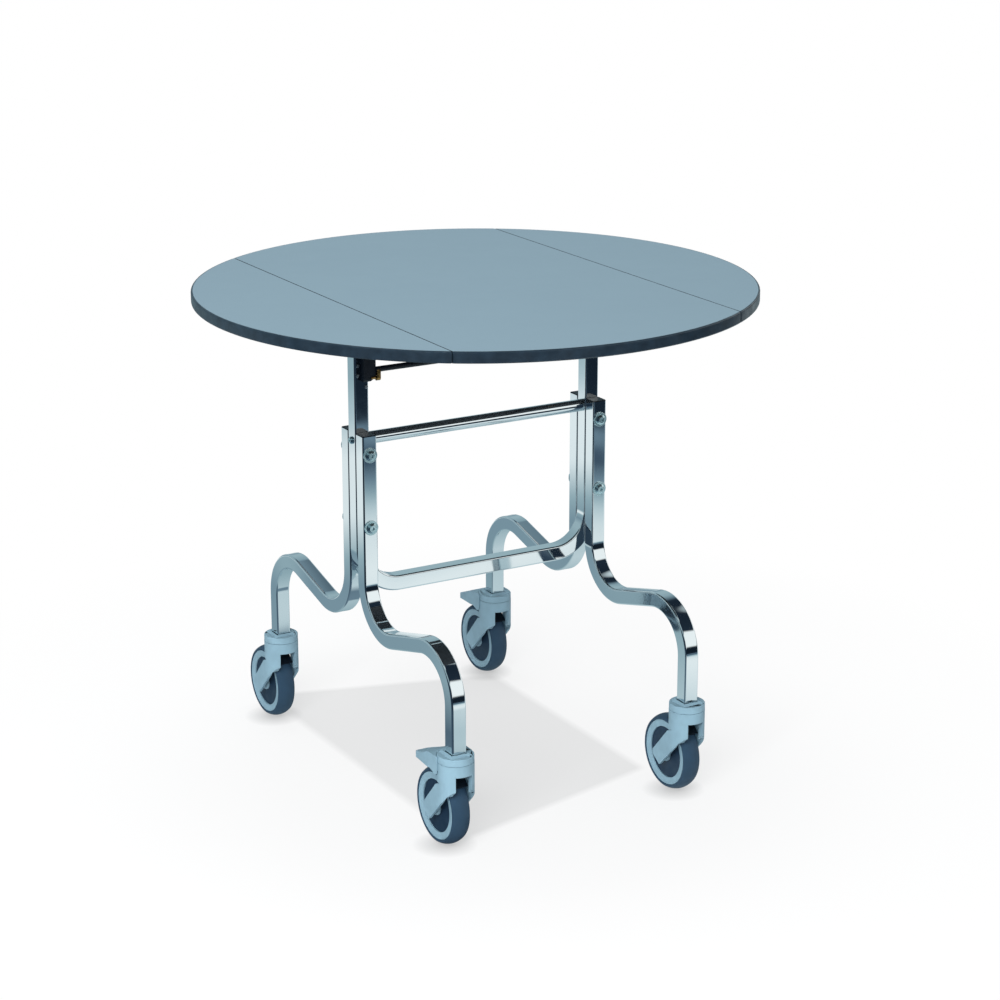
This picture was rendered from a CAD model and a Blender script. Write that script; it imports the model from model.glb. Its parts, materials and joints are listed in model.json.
"""A round-topped room service table in chrome and blue-grey laminate, on a pale studio floor."""

import json
import math

import bmesh
import bpy
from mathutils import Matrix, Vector


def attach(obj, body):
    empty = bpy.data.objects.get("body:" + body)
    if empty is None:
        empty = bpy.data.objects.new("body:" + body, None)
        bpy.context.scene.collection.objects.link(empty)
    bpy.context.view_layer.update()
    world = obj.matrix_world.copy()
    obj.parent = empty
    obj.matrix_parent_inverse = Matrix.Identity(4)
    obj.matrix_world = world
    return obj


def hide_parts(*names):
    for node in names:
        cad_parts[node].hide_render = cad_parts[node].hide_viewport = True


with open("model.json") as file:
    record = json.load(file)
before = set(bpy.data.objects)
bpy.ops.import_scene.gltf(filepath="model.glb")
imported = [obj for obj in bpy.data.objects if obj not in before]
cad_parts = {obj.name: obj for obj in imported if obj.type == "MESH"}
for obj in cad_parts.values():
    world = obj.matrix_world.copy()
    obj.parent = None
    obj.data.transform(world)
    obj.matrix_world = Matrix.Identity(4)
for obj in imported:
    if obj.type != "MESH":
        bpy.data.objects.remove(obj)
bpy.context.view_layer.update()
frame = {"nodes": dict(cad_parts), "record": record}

# ---- camera, as the photograph was taken ----

CAMERA_PLACE = (-1.9899, -3.5038, 1.6982)
CAMERA_YAW = 30.142
CAMERA_PITCH = 17.211
CAMERA_REACH = 60
FOCAL_LENGTH = 93.19
SENSOR_WIDTH = 36.0

# ---- colours, linear ----

LAMINATE = (0.226, 0.323, 0.386)
BACKING = (0.016, 0.020, 0.026)
EDGE_BAND = (0.014, 0.027, 0.042)
CHROME = (0.90, 0.93, 0.94)
BLACK = (0.004, 0.007, 0.013)
SATIN = (0.72, 0.92, 0.95)
STEEL = (0.42, 0.46, 0.49)
BRASS = (0.52, 0.30, 0.10)
CASTER = (0.265, 0.425, 0.520)
TYRE = (0.026, 0.062, 0.108)
DISC = (0.010, 0.030, 0.062)

# ---- sizes of the object, in metres ----

TUBE = 0.025
TUBE_WALL = 0.0015
TUBE_CORNER = 0.003
TUBE_DIP = 0.98
POST_X = 0.2125
POST_END = 0.7847
RAIL_Z = 0.337
RAIL_BEND = 0.065
LEG_TOP = 0.596
LEG_BEND = 0.075
UPPER_BEND_Z = 0.356
LOWER_BEND_Z = 0.236
FOOT_Y = 0.308
LEG_END = 0.1542
UNDER_Z = 0.792
TOP_Z = 0.810
TOP_R = 0.450
SEAM_X = 0.250
SEAM_HALF = 0.00075
BAND_W = 0.003
BAND_ROUND = 0.0025
END_ROUND = 0.0014
HINGE_Y = 0.240

# each corner's side (left -1, right 1) and end (front -1, rear 1)
CORNERS = {
    "front_left": (-1, -1),
    "front_right": (1, -1),
    "rear_left": (-1, 1),
    "rear_right": (1, 1),
}
BRAKED = ("front_left", "rear_right")

BODY_OF = {name: body for body, names in frame["record"]["behaviour"]["bodies"].items() for name in names}
SLOT_OF = {entry["node"]: entry["material_slot"] for entry in frame["record"]["subparts"]}

# ---- how finely the forms are drawn ----

CORNER_STEPS = 6
RAIL_BEND_STEPS = 28
LEG_BEND_STEPS = 32
RIM_STEPS = 160
GUARD_STEPS = 14
# points closer than this are one point
MERGE = 0.00001
# how near a point lies to a line to count as on it
ON_LINE = 0.0001


def make_camera():
    data = bpy.data.cameras.new("camera")
    data.lens = FOCAL_LENGTH
    data.sensor_width = SENSOR_WIDTH
    data.clip_end = CAMERA_REACH
    camera = bpy.data.objects.new("camera", data)
    camera.location = CAMERA_PLACE
    camera.rotation_euler = (math.radians(90 - CAMERA_PITCH), 0, -math.radians(CAMERA_YAW))
    bpy.context.scene.collection.objects.link(camera)
    bpy.context.scene.camera = camera


# ---- node trees ----

# a mix node's colour sockets come after its number and vector ones
MIX_FIRST = 6
MIX_SECOND = 7
MIX_OUT = 2

NAVY = Vector((0.30, 0.58, 1.0))
HAZE = Vector((0.60, 0.89, 1.0))
PALE = Vector((0.96, 1.0, 1.0))
HAZE_LEVEL = 0.45


class Nodes:
    """Short ways to add nodes to a tree and to link them."""

    def __init__(self, tree):
        self.tree = tree

    def link(self, source, socket):
        self.tree.links.new(source, socket)

    def add(self, kind, *links, **values):
        node = self.tree.nodes.new("ShaderNode" + kind)
        for name, value in values.items():
            if hasattr(node, name):
                setattr(node, name, value)
            else:
                node.inputs[name.replace("_", " ")].default_value = value
        for source, socket in links:
            self.link(source, node.inputs[socket])
        return node.outputs[0]

    def span(self, value, start, end, low=0.0, high=1.0):
        return self.add("MapRange", (value, "Value"), From_Min=start, From_Max=end, To_Min=low, To_Max=high)

    def along(self, place, direction):
        node = self.add("VectorMath", (place, 0), operation="DOT_PRODUCT").node
        node.inputs[1].default_value = direction
        return node.outputs["Value"]

    def axis(self, place, name):
        return self.add("SeparateXYZ", (place, "Vector")).node.outputs[name]

    def apart(self, value, middle):
        """How far a value is from the middle, on either side."""
        node = self.add("Math", (value, 0), operation="SUBTRACT").node
        node.inputs[1].default_value = middle
        return self.add("Math", (node.outputs[0], 0), operation="ABSOLUTE")

    def length(self, place):
        return self.add("VectorMath", (place, 0), operation="LENGTH").node.outputs["Value"]

    def times(self, one, other):
        return self.add("Math", (one, 0), (other, 1), operation="MULTIPLY")

    def levels(self, value, stops):
        """Light levels along a value: navy where dark, blue-grey between, pale where light."""
        ramp = self.add("ValToRGB", (value, "Fac")).node
        elements = ramp.color_ramp.elements
        while len(elements) < len(stops):
            elements.new(0.5)
        for element, (place, level) in zip(elements, stops):
            element.position = place
            if level < HAZE_LEVEL:
                tint = NAVY.lerp(HAZE, level / HAZE_LEVEL)
            else:
                tint = HAZE.lerp(PALE, (level - HAZE_LEVEL) / (1 - HAZE_LEVEL))
            element.color = (*(level * tint), 1)
        return ramp.outputs["Color"]

    def blend(self, factor, first, second):
        node = self.add("Mix", (factor, "Factor"), data_type="RGBA").node
        self.link(first, node.inputs[MIX_FIRST])
        self.link(second, node.inputs[MIX_SECOND])
        return node.outputs[MIX_OUT]

    def choose(self, factor, first, second):
        return self.add("MixShader", (factor, "Fac"), (first, 1), (second, 2))

    def seen(self, path):
        """The rays that see the white background: the camera's own, and those through glass."""
        return self.add("Math", (path["Is Camera Ray"], 0), (path["Is Transmission Ray"], 1),
                        operation="MAXIMUM")


# ---- materials ----

# where a noise's useful range starts and ends
NOISE_LOW = 0.35
NOISE_HIGH = 0.65
MASK_SOFT = 0.0002
# how far the dark faces reach past an underside and a seam
UNDER_REACH = 0.0006
SEAM_REACH = 0.0001


class Shader:
    """A new material with a principled shader, whose look can vary over the surface."""

    def __init__(self, name, colour, roughness, metallic=0.0, **sockets):
        self.name = name
        self.material = bpy.data.materials.new(name)
        self.material.use_nodes = True
        self.tree = self.material.node_tree
        self.nodes = Nodes(self.tree)
        self.main = self.tree.nodes["Principled BSDF"]
        self.main.inputs["Base Color"].default_value = (*colour, 1)
        self.main.inputs["Roughness"].default_value = roughness
        self.main.inputs["Metallic"].default_value = metallic
        for socket, value in sockets.items():
            self.main.inputs[socket.replace("_", " ")].default_value = value
        self.place = self.nodes.add("TexCoord").node.outputs["Object"]

    def noise(self, scale, detail):
        node = self.nodes.add("TexNoise", (self.place, "Vector"), Scale=scale, Detail=detail).node
        return node.outputs["Fac"]

    def ramp(self, value, low, high):
        node = self.nodes.add("ValToRGB", (value, "Fac")).node
        first, last = node.color_ramp.elements
        first.position, last.position = NOISE_LOW, NOISE_HIGH
        first.color, last.color = (*low, 1), (*high, 1)
        return node.outputs["Color"]

    def colour(self, value, low, high):
        self.nodes.link(self.ramp(value, low, high), self.main.inputs["Base Color"])

    def roughness(self, value, low, high):
        out = self.ramp(value, (low, low, low), (high, high, high))
        self.nodes.link(out, self.main.inputs["Roughness"])

    def bump(self, value, strength, distance):
        out = self.nodes.add("Bump", (value, "Height"), Strength=strength, Distance=distance)
        self.nodes.link(out, self.main.inputs["Normal"])

    def height_mask(self, edge):
        """0 below that height on the object and 1 above it."""
        return self.nodes.span(self.nodes.axis(self.place, "Z"), edge, edge + MASK_SOFT)

    def seam_mask(self, edge, half):
        """0 on the seam faces at either side of the middle and 1 beside them."""
        out = self.nodes.apart(self.nodes.axis(self.place, "X"), 0)
        return self.nodes.span(self.nodes.apart(out, edge), half, half + MASK_SOFT)

    def keep_where(self, mask, under):
        """Keeps the colour where the mask is 1, and has the one under it where the mask is 0."""
        base = self.main.inputs["Base Color"]
        shown = base.links[0].from_socket
        node = self.nodes.add("Mix", (mask, "Factor"), (shown, MIX_SECOND), data_type="RGBA").node
        node.inputs[MIX_FIRST].default_value = (*under, 1)
        self.nodes.link(node.outputs[MIX_OUT], base)


def toned(colour, factor):
    return tuple(min(1.0, part * factor) for part in colour)


def finish(name, colour, roughness, tint, wear, grain=None, **sockets):
    """A surface that varies a little.

    tint is a noise's scale and detail, and the lowest and highest factor that it gives the colour.
    wear is a noise's scale and detail, and the lowest and highest roughness.
    grain is a noise's scale, and the strength and depth of the bumps.
    """
    shader = Shader(name, colour, roughness, **sockets)
    scale, detail, low, high = tint
    shader.colour(shader.noise(scale, detail), toned(colour, low), toned(colour, high))
    scale, detail, low, high = wear
    shader.roughness(shader.noise(scale, detail), low, high)
    if grain:
        scale, strength, depth = grain
        shader.bump(shader.noise(scale, 2), strength, depth)
    return shader


def laminate():
    """Blue-grey on the top faces; the undersides and the faces in the seams are dark."""
    shader = finish("laminate", LAMINATE, 0.42, (900, 2, 0.955, 1.045), (6, 4, 0.38, 0.46),
                    (2500, 0.08, 0.0002), Specular_IOR_Level=0.35)
    shown = shader.nodes.times(shader.height_mask(UNDER_Z + UNDER_REACH),
                               shader.seam_mask(SEAM_X, SEAM_HALF + SEAM_REACH))
    shader.keep_where(shown, BACKING)
    return shader


def moulded(name, colour, roughness, grain=1600, strength=0.12):
    return finish(name, colour, roughness, (35, 4, 0.93, 1.06), (80, 3, roughness - 0.05, roughness + 0.07),
                  (grain, strength, 0.0003), Specular_IOR_Level=0.35)


def metal(name, colour, roughness, tint, wear, grain=None):
    return finish(name, colour, roughness, tint, wear, grain, metallic=1.0)


def make_materials():
    shaders = (
        laminate(),
        finish("edge_band", EDGE_BAND, 0.34, (60, 4, 0.85, 1.2), (40, 3, 0.28, 0.40), (1800, 0.06, 0.0002)),
        metal("chrome", CHROME, 0.05, (5, 2, 0.97, 1.0), (30, 4, 0.03, 0.07), (14, 0.012, 0.001)),
        metal("satin", SATIN, 0.30, (60, 4, 0.92, 1.0), (120, 3, 0.24, 0.38)),
        moulded("black_plastic", BLACK, 0.38),
        moulded("black_metal", BLACK, 0.30, 900),
        metal("steel", STEEL, 0.30, (90, 4, 0.85, 1.1), (160, 3, 0.22, 0.40)),
        metal("brass", BRASS, 0.32, (160, 4, 0.75, 1.1), (220, 3, 0.25, 0.42)),
        moulded("caster_plastic", CASTER, 0.46),
        moulded("tyre", TYRE, 0.52, 1200, 0.2),
        moulded("wheel_disc", DISC, 0.5),
        moulded("button", CASTER, 0.40),
        moulded("brake_rubber", BLACK, 0.7, 1200, 0.2),
    )
    return {shader.name: shader.material for shader in shaders}


def paint():
    """Gives every CAD node the material of its slot in the record."""
    for name, slot in SLOT_OF.items():
        node = frame["nodes"][name]
        if not node.material_slots:
            node.data.materials.append(None)
        for place in node.material_slots:
            place.material = MATERIALS[slot]


# ---- workbench: starting, selecting and finishing a piece ----


def take(piece):
    bpy.ops.object.select_all(action="DESELECT")
    piece.select_set(True)
    bpy.context.view_layer.objects.active = piece


def new_plane(name, size, place, turn=(0, 0, 0)):
    bpy.ops.object.select_all(action="DESELECT")
    bpy.ops.mesh.primitive_plane_add(size=size, location=place, rotation=turn)
    piece = bpy.context.object
    piece.name = name
    return piece


def open_mesh(piece):
    take(piece)
    bpy.ops.object.mode_set(mode="EDIT")
    bpy.ops.mesh.select_all(action="DESELECT")


def close_mesh():
    bpy.ops.object.mode_set(mode="OBJECT")


def pick_all():
    bpy.ops.mesh.select_all(action="SELECT")


def pick(piece, kind, wanted):
    bpy.ops.mesh.select_all(action="DESELECT")
    bpy.ops.mesh.select_mode(type=kind)
    mesh = bmesh.from_edit_mesh(piece.data)
    for part in {"VERT": mesh.verts, "EDGE": mesh.edges, "FACE": mesh.faces}[kind]:
        if wanted(part):
            part.select_set(True)
    bmesh.update_edit_mesh(piece.data)


def pick_points(piece, wanted):
    pick(piece, "VERT", lambda point: wanted(point.co))


def pick_edges(piece, wanted):
    pick(piece, "EDGE", lambda edge: wanted(edge.verts[0].co, edge.verts[1].co))


def pick_faces(piece, wanted):
    pick(piece, "FACE", lambda face: wanted(face.normal))


def extrude(x=0.0, y=0.0, z=0.0):
    bpy.ops.mesh.extrude_region_move(TRANSFORM_OT_translate={"value": (x, y, z)})


def bend(turn, centre, axis, steps):
    bpy.ops.mesh.spin(steps=steps, angle=math.radians(-turn), center=centre, axis=axis)


def merge():
    """Joins the points that lie on each other."""
    pick_all()
    bpy.ops.mesh.remove_doubles(threshold=MERGE)


def close_outward():
    """Turns all faces outward and leaves the mesh."""
    pick_all()
    bpy.ops.mesh.normals_make_consistent(inside=False)
    close_mesh()


def settle(piece):
    """Puts the piece's place, turn and scale into its mesh."""
    take(piece)
    bpy.ops.object.transform_apply(location=True, rotation=True, scale=True)


def smooth(piece, angle=40):
    take(piece)
    bpy.ops.object.shade_smooth_by_angle(angle=math.radians(angle))
    weights = piece.modifiers.new("weights", "WEIGHTED_NORMAL")
    weights.keep_sharp = True
    bpy.ops.object.modifier_apply(modifier=weights.name)


def bevel(piece, width, segments=2, angle=30):
    take(piece)
    round_edges = piece.modifiers.new("round_edges", "BEVEL")
    round_edges.width = width
    round_edges.segments = segments
    round_edges.limit_method = "ANGLE"
    round_edges.angle_limit = math.radians(angle)
    bpy.ops.object.modifier_apply(modifier=round_edges.name)


def fit(piece, body, slot, *nodes):
    """Names what the piece rides on, its finish, and the CAD nodes that it stands for."""
    piece.data.materials.clear()
    piece.data.materials.append(MATERIALS[slot])
    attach(piece, body)
    if nodes:
        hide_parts(*nodes)


# ---- chrome tubes ----


def tube_end(name, x, y, z):
    """The end of a square tube, as a flat frame with round corners, ready to be drawn out."""
    piece = new_plane(name, TUBE, (x, y, z))
    settle(piece)
    open_mesh(piece)
    pick_all()
    bpy.ops.mesh.bevel(offset=TUBE_CORNER, segments=CORNER_STEPS, affect="VERTICES")
    # the flat sides are drawn in a little in the middle, as on a rolled tube
    pick_edges(piece, lambda a, b: (a - b).length > TUBE / 2)
    bpy.ops.mesh.subdivide(number_cuts=1)
    pick_points(piece, lambda p: min(abs(p.x - x), abs(p.y - y)) < ON_LINE)
    bpy.ops.transform.resize(value=(TUBE_DIP, TUBE_DIP, 1), center_override=(x, y, z))
    pick_all()
    bpy.ops.mesh.inset(thickness=TUBE_WALL)
    bpy.ops.mesh.delete(type="FACE")
    pick_all()
    return piece


def finish_tube(piece):
    merge()
    close_outward()
    smooth(piece)


def make_u_frame():
    piece = tube_end("u_tube", -POST_X, 0, POST_END)
    bend_z = RAIL_Z + RAIL_BEND
    bend_x = POST_X - RAIL_BEND
    extrude(z=bend_z - POST_END)
    bend(-90, (-bend_x, 0, bend_z), (0, 1, 0), RAIL_BEND_STEPS)
    extrude(x=2 * bend_x)
    bend(-90, (bend_x, 0, bend_z), (0, 1, 0), RAIL_BEND_STEPS)
    extrude(z=POST_END - bend_z)
    finish_tube(piece)
    fit(piece, "frame", "chrome", "u_frame")


def make_leg(corner, side, end):
    """Down from the clamp, out through two equal bends and the run between them, down to the foot."""
    upper = Vector((TUBE + LEG_BEND, UPPER_BEND_Z))
    lower = Vector((FOOT_Y - LEG_BEND, LOWER_BEND_Z))
    step = lower - upper
    slope = math.atan2(step.y, step.x) + math.asin(2 * LEG_BEND / step.length)
    run = math.sqrt(step.length ** 2 - 4 * LEG_BEND ** 2)
    turn = 90 + math.degrees(slope)
    x = side * POST_X
    piece = tube_end("leg_tube_" + corner, x, end * TUBE, LEG_TOP)
    extrude(z=UPPER_BEND_Z - LEG_TOP)
    bend(end * turn, (x, end * upper.x, upper.y), (1, 0, 0), LEG_BEND_STEPS)
    extrude(y=end * run * math.cos(slope), z=run * math.sin(slope))
    bend(-end * turn, (x, end * lower.x, lower.y), (1, 0, 0), LEG_BEND_STEPS)
    extrude(z=LEG_END - LOWER_BEND_Z)
    finish_tube(piece)
    fit(piece, "frame", "chrome", "leg_" + corner)


# ---- edge bands ----


def rim_ring(name):
    """A whole edge band: its section, rounded outside, drawn round the rim."""
    middle = TOP_R - BAND_W / 2
    half_step = math.pi / RIM_STEPS
    place = (middle * math.cos(half_step), middle * math.sin(half_step), (UNDER_Z + TOP_Z) / 2)
    piece = new_plane(name, 1, place, (math.pi / 2, 0, half_step))
    piece.scale = (BAND_W, TOP_Z - UNDER_Z, 1)
    settle(piece)
    open_mesh(piece)
    pick_points(piece, lambda p: math.hypot(p.x, p.y) > middle)
    bpy.ops.mesh.bevel(offset=BAND_ROUND, segments=5, affect="VERTICES")
    # only the outline goes round, so that no face stays inside the ring
    pick_all()
    bpy.ops.mesh.delete(type="ONLY_FACE")
    pick_all()
    bpy.ops.mesh.spin(steps=RIM_STEPS, angle=2 * math.pi, center=(0, 0, 0), axis=(0, 0, 1))
    merge()
    bpy.ops.mesh.delete_loose()
    return piece


def cut_band(piece, x, away):
    """Cuts the band across at a seam and rounds the new end, apart from its inner edge."""
    pick_all()
    bpy.ops.mesh.bisect(plane_co=(x, 0, 0), plane_no=(away, 0, 0), use_fill=True, clear_outer=True)
    inner = TOP_R - BAND_W + 0.0002
    pick_edges(piece, lambda a, b: max(abs(a.x - x), abs(b.x - x)) < MERGE
               and math.hypot(*((a + b) / 2).xy) > inner)
    bpy.ops.mesh.bevel(offset=END_ROUND, segments=3, affect="EDGES")


def make_bands():
    for node, cuts in (("centre_edges", ((SEAM_X - SEAM_HALF, 1), (SEAM_HALF - SEAM_X, -1))),
                       ("leaf_edge_left", ((-SEAM_X - SEAM_HALF, 1),)),
                       ("leaf_edge_right", ((SEAM_X + SEAM_HALF, -1),))):
        piece = rim_ring(node + "_band")
        for x, away in cuts:
            cut_band(piece, x, away)
        close_outward()
        smooth(piece, 50)
        fit(piece, BODY_OF[node], "edge_band", node)


# ---- pieces that keep the CAD's form, with their edges rounded ----

# faces that meet flatter than this are one face
FLAT = 0.6


def soften(node, width, segments=2):
    piece = bpy.data.objects.new(node + "_piece", frame["nodes"][node].data.copy())
    bpy.context.scene.collection.objects.link(piece)
    open_mesh(piece)
    merge()
    bpy.ops.mesh.dissolve_limited(angle_limit=math.radians(FLAT))
    close_mesh()
    bevel(piece, width, segments)
    smooth(piece)
    fit(piece, BODY_OF[node], SLOT_OF[node], node)
    return piece


def soften_pieces():
    soften("leg_caps", 0.0005)
    soften("caster_collars", 0.0006, 3)
    soften("pivot_housings", 0.0012, 3)
    soften("lock_blocks", 0.0008)
    for node, width in (("leg_bolts", 0.0009), ("bolt_washers", 0.0004), ("bolt_nuts", 0.0005),
                        ("bar_screws", 0.0007)):
        piece = soften(node, width, 3)
        piece.data.materials[0] = MATERIALS["satin"]
    soften("release_cranks", 0.0006)
    soften("tilt_carriers", 0.0006)
    for corner in CORNERS:
        soften("fork_" + corner, 0.0008, 3)
        soften("rim_" + corner, 0.0005)
        soften("tyre_" + corner, 0.0012, 3)
        soften("wheel_discs_" + corner, 0.0005)
    for corner in BRAKED:
        soften("brake_pedal_" + corner, 0.0016, 4)


# ---- black guards inside the forks, over the wheels ----

WHEEL_BACK = 0.040
WHEEL_Z = 0.0625
GUARD_R = 0.0653
GUARD_WALL = 0.0014
GUARD_W = 0.0332
GUARD_START = 98
GUARD_TURN = 40
GUARD_ROUND = 0.0003


def make_guard(corner, side, end):
    x, y = side * POST_X, end * FOOT_Y + WHEEL_BACK
    start = math.radians(GUARD_START)
    place = (x, y + GUARD_R * math.cos(start), WHEEL_Z + GUARD_R * math.sin(start))
    piece = new_plane("guard_" + corner, 1, place, (start, 0, 0))
    piece.scale = (GUARD_W, GUARD_WALL, 1)
    settle(piece)
    open_mesh(piece)
    pick_all()
    bend(GUARD_TURN, (x, y, WHEEL_Z), (1, 0, 0), GUARD_STEPS)
    merge()
    close_outward()
    bevel(piece, GUARD_ROUND, 2, 50)
    smooth(piece, 35)
    fit(piece, "swivel_" + corner, "black_plastic")


# ---- small screws under the top ----

SCREW_R = 0.0035
SCREW_H = 0.0015
SCREW_ROUND = 0.0006
SOCKET_RIM = 0.0014
SOCKET_DEPTH = 0.0008
PLATE_UNDER = 0.7895
PLATE_OUT = (0.014, 0.038)
PLATE_ALONG = (-0.018, 0.018)
CARRIER_UNDER = 0.787
CARRIER_X = 0.204
CARRIER_ALONG = (-0.135, -0.075, 0.055, 0.135)


def model_screw():
    """A flat round head with its lower edge rounded and a round socket."""
    bpy.ops.object.select_all(action="DESELECT")
    bpy.ops.mesh.primitive_cylinder_add(vertices=20, radius=SCREW_R, depth=SCREW_H,
                                        location=(0, 0, -SCREW_H / 2))
    piece = bpy.context.object
    piece.name = "small_screw"
    settle(piece)
    open_mesh(piece)
    pick_edges(piece, lambda a, b: max(a.z, b.z) < MERGE - SCREW_H)
    bpy.ops.mesh.bevel(offset=SCREW_ROUND, segments=3, affect="EDGES")
    pick_faces(piece, lambda normal: normal.z < -0.99)
    bpy.ops.mesh.inset(thickness=SOCKET_RIM)
    extrude(z=SOCKET_DEPTH)
    close_mesh()
    smooth(piece)
    return piece


def make_screws():
    first = model_screw()
    places = []
    for side, body in ((-1, "leaf_left_body"), (1, "leaf_right_body")):
        for hinge in (-HINGE_Y, HINGE_Y):
            for out in PLATE_OUT:
                for along in PLATE_ALONG:
                    places.append((body, side * (SEAM_X + out), hinge + along, PLATE_UNDER))
        for along in CARRIER_ALONG:
            places.append(("top", side * CARRIER_X, along, CARRIER_UNDER))
    for number, (body, x, y, z) in enumerate(places):
        piece = bpy.data.objects.new("small_screw_%02d" % number, first.data.copy())
        bpy.context.scene.collection.objects.link(piece)
        piece.location = (x, y, z)
        settle(piece)
        fit(piece, body, "steel")
    bpy.data.objects.remove(first)


# ---- studio: what the camera sees of the floor ----

FLOOR_COLOUR = (0.86, 0.86, 0.86)
FLOOR_SIZE = 40.0
SHADE = (0.82, 0.82, 0.82)
# the shade's four sides: which way each faces, and how far out it lies
SHADE_SIDES = (((1, 0, 0), 0.215), ((-1, 0, 0), 0.193), ((0.289, 1, 0), 0.377), ((0.249, -1, 0), 0.239))
SHADE_IN = 0.012
SHADE_OUT = 0.006
# the dark spots under the wheels: their place from the foot, where they fade, and their tone
SPOT_X = -0.004
SPOT_Y = 0.028
SPOT_START = 0.010
SPOT_END = 0.052
SPOT_TONE = 0.62
# the floor keeps part of the object's shadow near it and none further off
SHADOW_START = 0.5
SHADOW_END = 1.2
SHADOW_SHARE = 0.78


def ground_shade(nodes, place):
    """1 on the pale four-sided shade between the casters, 0 outside it."""
    inside = None
    for direction, limit in SHADE_SIDES:
        side = nodes.span(nodes.along(place, direction), limit - SHADE_IN, limit + SHADE_OUT, 1, 0)
        inside = nodes.times(inside, side) if inside else side
    return inside


def contact_shade(nodes, place):
    """Darkest where the wheels stand, fading out around them."""
    level = None
    for side in (-1, 1):
        for end in (-1, 1):
            node = nodes.add("VectorMath", (place, 0), operation="DISTANCE").node
            node.inputs[1].default_value = (side * POST_X + SPOT_X, end * FOOT_Y + SPOT_Y, 0)
            near = nodes.span(node.outputs["Value"], SPOT_START, SPOT_END, SPOT_TONE, 1)
            level = nodes.times(level, near) if level else near
    return level


def floor_seen(nodes, place):
    """The camera sees a white floor that keeps the shadow."""
    tone = nodes.add("ValToRGB", (ground_shade(nodes, place), "Fac")).node
    tone.color_ramp.elements[0].color = (1, 1, 1, 1)
    tone.color_ramp.elements[1].color = (*SHADE, 1)
    white = nodes.add("Emission", (tone.outputs["Color"], "Color"), (contact_shade(nodes, place), "Strength"))
    soft = nodes.add("BsdfDiffuse", Color=(1, 1, 1, 1))
    return nodes.choose(nodes.span(nodes.length(place), SHADOW_START, SHADOW_END, SHADOW_SHARE, 1), soft, white)


# ---- studio: what the chrome mirrors ----

FRONT = (0.50, -0.86, 0)
LEFT = (-0.87, -0.50, 0)

# each list runs along a span from 0 to 1: place and light level
STRIP_REACH = 5
STRIPS_IN_FRONT = (
    (0.0, 0.40), (0.226, 0.46), (0.265, 0.62), (0.30, 0.88), (0.345, 0.86), (0.373, 0.48),
    (0.39, 0.36), (0.42, 0.38), (0.466, 0.47), (0.50, 0.62), (0.519, 0.70), (0.566, 0.62),
    (0.587, 0.82), (0.60, 0.90), (0.631, 0.82), (0.645, 0.66), (0.655, 0.45), (0.666, 0.30),
    (0.680, 0.12), (0.690, 0.14), (0.700, 0.30), (0.708, 0.26), (0.713, 0.03), (0.85, 0.02),
)
DARK_REACH = 3
DARK_AT_LEFT = ((0.0, 0.30), (0.25, 0.12), (0.4, 0.04))
# up the room, from the horizon to overhead
ROOM_FRONT = (
    (0.0, 0.02), (0.05, 0.03), (0.10, 0.95), (0.50, 0.95), (0.55, 0.04), (0.84, 0.03),
    (0.87, 0.75), (0.90, 0.75), (0.93, 0.03),
)
ROOM_BACK = (
    (0.0, 0.34), (0.2, 0.50), (0.35, 0.50), (0.62, 0.42), (0.68, 0.34), (0.74, 0.05),
    (0.82, 0.04), (0.85, 0.9), (0.90, 0.9), (0.93, 0.05),
)
ROOM_LEFT = ((0.0, 0.05), (0.3, 0.06), (0.5, 0.5), (0.8, 0.5), (0.9, 0.1))


def floor_mirrored(nodes, place):
    """Chrome sees light and dark strips on the floor in front, and a floor that darkens to the left."""
    ahead = nodes.span(nodes.along(place, FRONT), -STRIP_REACH, STRIP_REACH)
    front = nodes.levels(ahead, STRIPS_IN_FRONT)
    dark = nodes.levels(nodes.span(nodes.length(place), 0, DARK_REACH), DARK_AT_LEFT)
    turned = nodes.along(nodes.add("VectorMath", (place, 0), operation="NORMALIZE"), LEFT)
    both = nodes.blend(nodes.span(turned, 0.50, 0.72), front, dark)
    return nodes.add("Emission", (both, "Color"), Strength=1.0)


def room_mirrored(nodes, direction):
    """Chrome sees a low lit screen in front, a dark room above it and a grey backdrop behind."""
    height = nodes.axis(direction, "Z")
    front = nodes.levels(height, ROOM_FRONT)
    back = nodes.levels(height, ROOM_BACK)
    left = nodes.levels(height, ROOM_LEFT)
    room = nodes.blend(nodes.span(nodes.along(direction, FRONT), -0.30, -0.05), back, front)
    return nodes.blend(nodes.span(nodes.along(direction, LEFT), 0.45, 0.65), room, left)


# ---- studio: floor, world and lights ----

SOFT_LIGHT = (0.93, 0.97, 1.0)
SOFT_STRENGTH = 0.45
# name, place, aim, size and power
LIGHTS = (
    ("key", (-2.4, -2.4, 2.2), (0, 0, 0.3), (1.8, 1.8), 120),
    ("overhead", (0.2, 0.6, 3.2), (0, 0, 0.0), (1.6, 1.6), 30),
)


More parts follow.
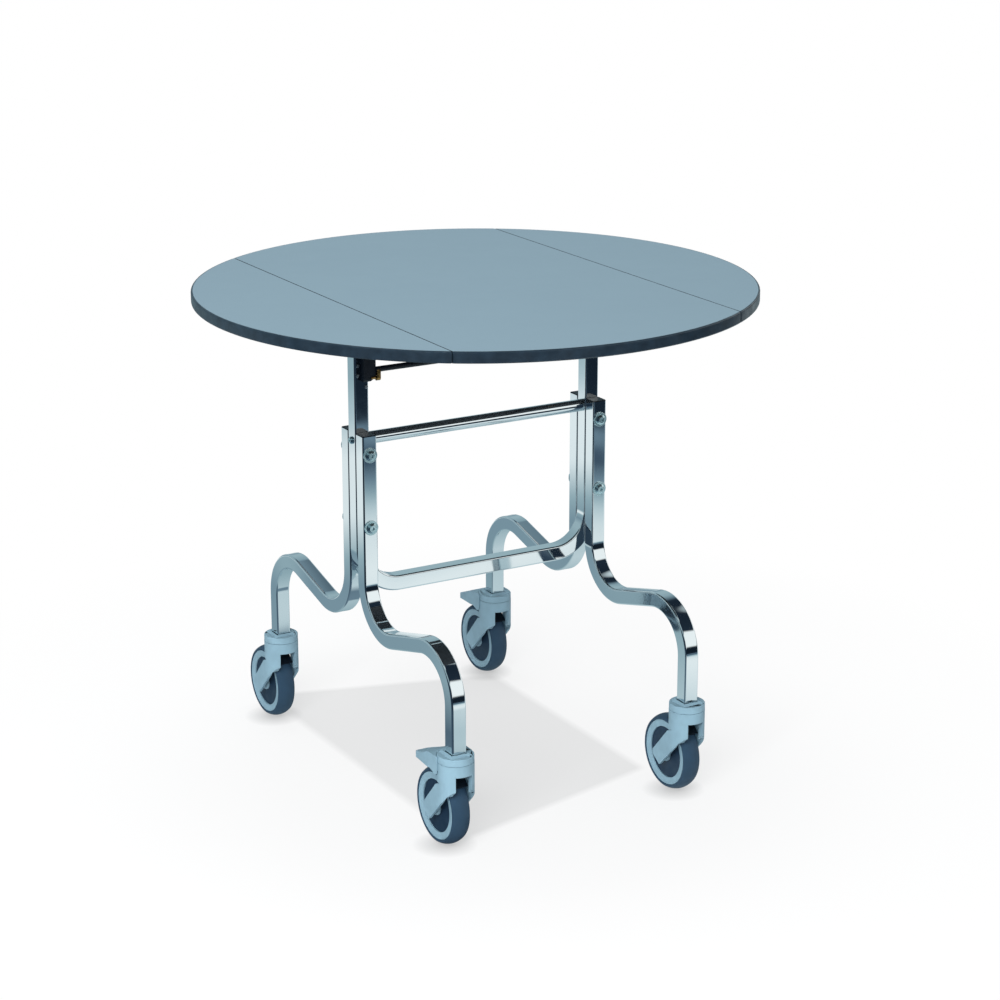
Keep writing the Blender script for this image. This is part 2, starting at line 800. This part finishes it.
def make_floor():
    floor = new_plane("floor", FLOOR_SIZE, (0, 0, 0))
    shader = Shader("floor", FLOOR_COLOUR, 0.9, Specular_IOR_Level=0.0)
    shader.colour(shader.noise(3, 2), toned(FLOOR_COLOUR, 0.995), FLOOR_COLOUR)
    nodes = shader.nodes
    ground = shader.main.outputs["BSDF"]
    path = nodes.add("LightPath").node.outputs
    out = nodes.choose(nodes.seen(path), ground, floor_seen(nodes, shader.place))
    out = nodes.choose(path["Is Glossy Ray"], out, floor_mirrored(nodes, shader.place))
    # from below, the camera looks through the floor
    below = nodes.times(path["Is Camera Ray"], nodes.add("NewGeometry").node.outputs["Backfacing"])
    out = nodes.choose(below, out, nodes.add("BsdfTransparent"))
    nodes.link(out, shader.tree.nodes["Material Output"].inputs["Surface"])
    floor.data.materials.append(shader.material)


def make_world():
    world = bpy.data.worlds.new("studio")
    world.use_nodes = True
    bpy.context.scene.world = world
    nodes = Nodes(world.node_tree)
    soft = world.node_tree.nodes["Background"]
    soft.inputs["Color"].default_value = (*SOFT_LIGHT, 1)
    soft.inputs["Strength"].default_value = SOFT_STRENGTH
    direction = nodes.add("TexCoord").node.outputs["Generated"]
    mirrored = nodes.add("Background", (room_mirrored(nodes, direction), "Color"))
    white = nodes.add("Background", Color=(1, 1, 1, 1))
    path = nodes.add("LightPath").node.outputs
    out = nodes.choose(path["Is Glossy Ray"], soft.outputs["Background"], mirrored)
    out = nodes.choose(nodes.seen(path), out, white)
    nodes.link(out, world.node_tree.nodes["World Output"].inputs["Surface"])


def make_light(name, place, aim, size, power):
    data = bpy.data.lights.new(name, "AREA")
    data.shape = "RECTANGLE"
    data.size, data.size_y = size
    data.energy = power
    light = bpy.data.objects.new(name, data)
    light.location = place
    light.visible_glossy = False
    light.rotation_euler = (Vector(aim) - Vector(place)).to_track_quat("-Z", "Y").to_euler()
    bpy.context.scene.collection.objects.link(light)


def make_studio():
    bpy.context.scene.view_settings.view_transform = "Standard"
    make_floor()
    make_world()
    for light in LIGHTS:
        make_light(*light)


MATERIALS = make_materials()
paint()
make_u_frame()
for corner, (side, end) in CORNERS.items():
    make_leg(corner, side, end)
    make_guard(corner, side, end)
make_bands()
soften_pieces()
make_screws()
make_camera()
make_studio()
